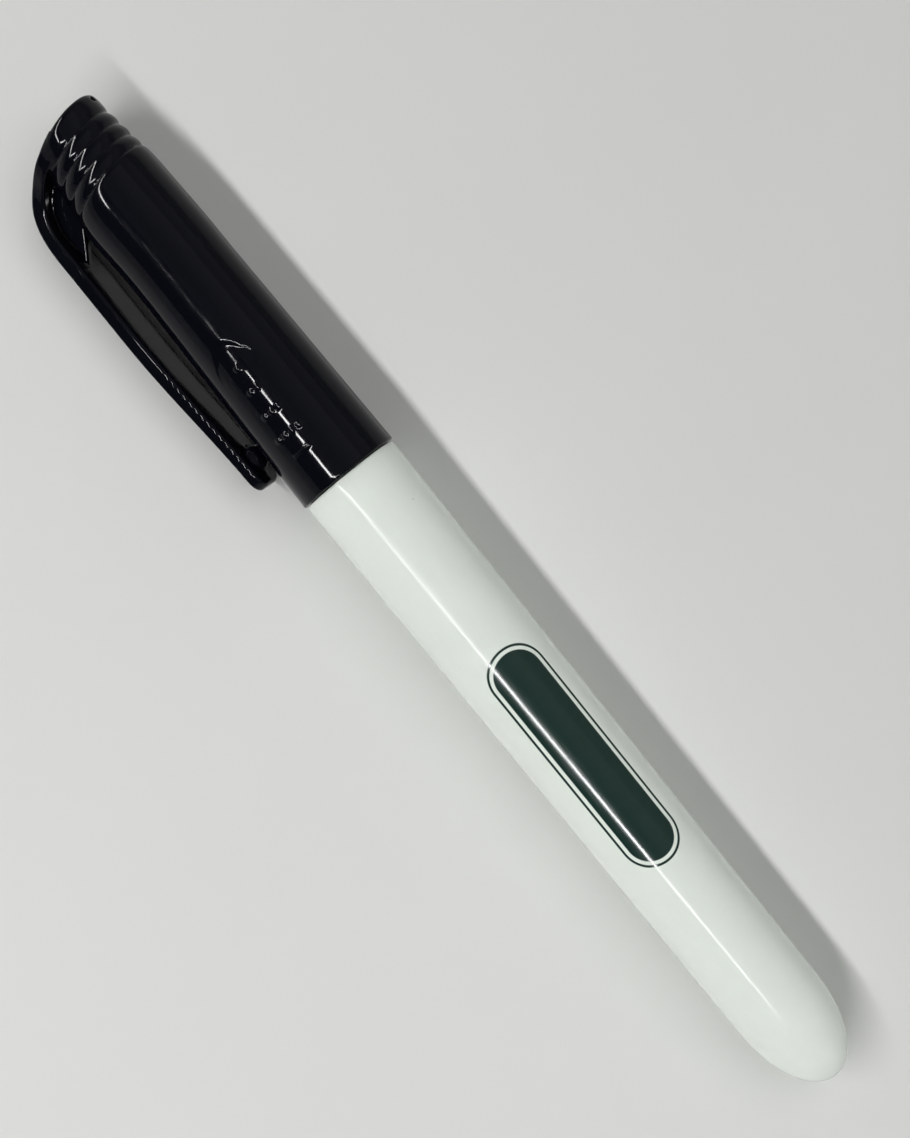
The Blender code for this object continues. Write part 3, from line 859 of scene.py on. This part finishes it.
def make_floor():
    """Round floor with painted light and shade: a little paler towards the key lamp on the clip side, and
    greyer far away.
    """
    look, tree, shader = new_look("floor_look", Roughness=0.7, Specular_IOR_Level=0.1)
    at = places(tree)
    grain = noise(tree, at, 0.03, 4.0)
    base = mixed(tree, grain, colour(0.69, 0.695, 0.68), colour(0.72, 0.725, 0.71))
    y = node(tree, "SeparateXYZ", {0: at}, output=1)
    # painted light: the floor's colour gets paler towards the key lamp on the clip side
    shade = node(tree, "MapRange", {"Value": y, "From Min": PAINTED_LIGHT_Y[0], "From Max": PAINTED_LIGHT_Y[1],
                                    "To Min": PAINTED_LIGHT[0], "To Max": PAINTED_LIGHT[1]},
                 interpolation_type="SMOOTHSTEP")
    reach = node(tree, "VectorMath", {0: at}, output=1, operation="LENGTH")
    # painted shade: the floor's colour gets greyer far from the marker
    shade = maths(tree, "MULTIPLY", shade, ranged(tree, reach, *FAR_R, 1.0, FAR_PAINTED_SHADE))
    base = node(tree, "VectorMath", {0: base, "Scale": shade}, operation="SCALE")
    tree.links.new(base, shader.inputs["Base Color"])
    rings = [(0.0, FLOOR_INNER_R), (0.0, FLOOR_R)]
    for sweep in np.linspace(0, math.pi / 2, BACKDROP_STEPS)[1:]:
        rings.append((BACKDROP_Z * (1 - math.cos(sweep)),
                      FLOOR_R + (BACKDROP_R - FLOOR_R) * math.sin(sweep)))
    count = FLOOR_SEGMENTS
    turn = np.linspace(0, 2 * math.pi, count, endpoint=False)
    points = []
    for z, r in rings:
        points.extend(zip(r * np.cos(turn), r * np.sin(turn), np.full(count, z)))
    faces = [list(range(count))]
    for start in range(0, (len(rings) - 1) * count, count):
        for i in range(count):
            j = (i + 1) % count
            faces.append([start + j, start + i, start + count + i, start + count + j])
    floor = as_object("floor", points, faces, look)
    floor.matrix_world = Matrix.Identity(4)


make_floor()


# Light

ALONG = (1, 0, 0)
LAMP_DISTANCE = 3.0
CEILING_DISTANCE = 2.6
GLINT_WIDTH = 0.14
SKY = 0.012
SKY_FRONT = (0.12, 4.0)      # level at that side of the sky, and the power with which it fades
SKY_REAR = (1.0, 8.0)
SKY_FAR = (0.42, 1.0)


def strip_lamp(name, direction, along, distance, size, power):
    """Long lamp at a distance from the marker, facing it, with its length along a direction."""
    data = bpy.data.lights.new(name, "AREA")
    data.shape = "RECTANGLE"
    data.size, data.size_y = size
    data.energy = power
    lamp = bpy.data.objects.new(name, data)
    bpy.context.scene.collection.objects.link(lamp)
    back = Vector(direction).normalized()
    right = Vector(along)
    right = (right - back * right.dot(back)).normalized()
    turn = Matrix((right, back.cross(right), back)).transposed()
    lamp.matrix_world = Matrix.Translation(back * distance) @ turn.to_4x4()
    return lamp


def towards(axial, lateral):
    """Direction upwards, tilted by these degrees along the marker and to its clip side."""
    return Vector((math.tan(math.radians(axial)), math.tan(math.radians(lateral)), 1.0))


def glint(name, start, end, power):
    """Lamp that only shows as a reflection, from one direction (x, y) per unit of height to another."""
    start, end = Vector((*start, 1.0)), Vector((*end, 1.0))
    across = math.acos(start.normalized().dot(end.normalized()))
    size = (2 * LAMP_DISTANCE * math.tan(across / 2), GLINT_WIDTH)
    middle = start.normalized() + end.normalized()
    lamp = strip_lamp(name, middle, end - start, LAMP_DISTANCE, size, power)
    lamp.visible_diffuse = False


key = strip_lamp("key", towards(4.0, 28.9), ALONG, LAMP_DISTANCE, (3.4, 0.22), 67.0)
key.visible_glossy = False
fill = strip_lamp("fill", towards(0.0, -25.0), ALONG, LAMP_DISTANCE, (3.0, 2.0), 26.9)
fill.visible_glossy = False
glint("glint", (0.170, 0.664), (-0.30, 0.273), 66.0)
glint("glint_front", (0.31, 0.80), (2.9, 0.30), 95.0)
ceiling = strip_lamp("ceiling", towards(0.0, -10.0), ALONG, CEILING_DISTANCE, (4.0, 3.4), 10.0)
ceiling.visible_diffuse = False

world = bpy.data.worlds.new("world")
bpy.context.scene.world = world
world.use_nodes = True
sky = world.node_tree
way_x, way_y, _ = node(sky, "SeparateXYZ", {0: node(sky, "TexCoord")}).node.outputs


def sky_part(way, sign, level, power):
    """Light that grows towards one side of the sky."""
    part = maths(sky, "MAXIMUM", maths(sky, "MULTIPLY", way, sign), 0.0)
    return maths(sky, "MULTIPLY", maths(sky, "POWER", part, power), level)


level = maths(sky, "ADD", sky_part(way_x, 1.0, *SKY_FRONT), sky_part(way_x, -1.0, *SKY_REAR))
level = maths(sky, "ADD", maths(sky, "ADD", level, sky_part(way_y, -1.0, *SKY_FAR)), SKY)
sky.links.new(level, sky.nodes["Background"].inputs["Strength"])
sky.nodes["Background"].inputs["Color"].default_value = colour(1.0, 1.0, 0.99)

bpy.context.scene.view_settings.view_transform = "Standard"
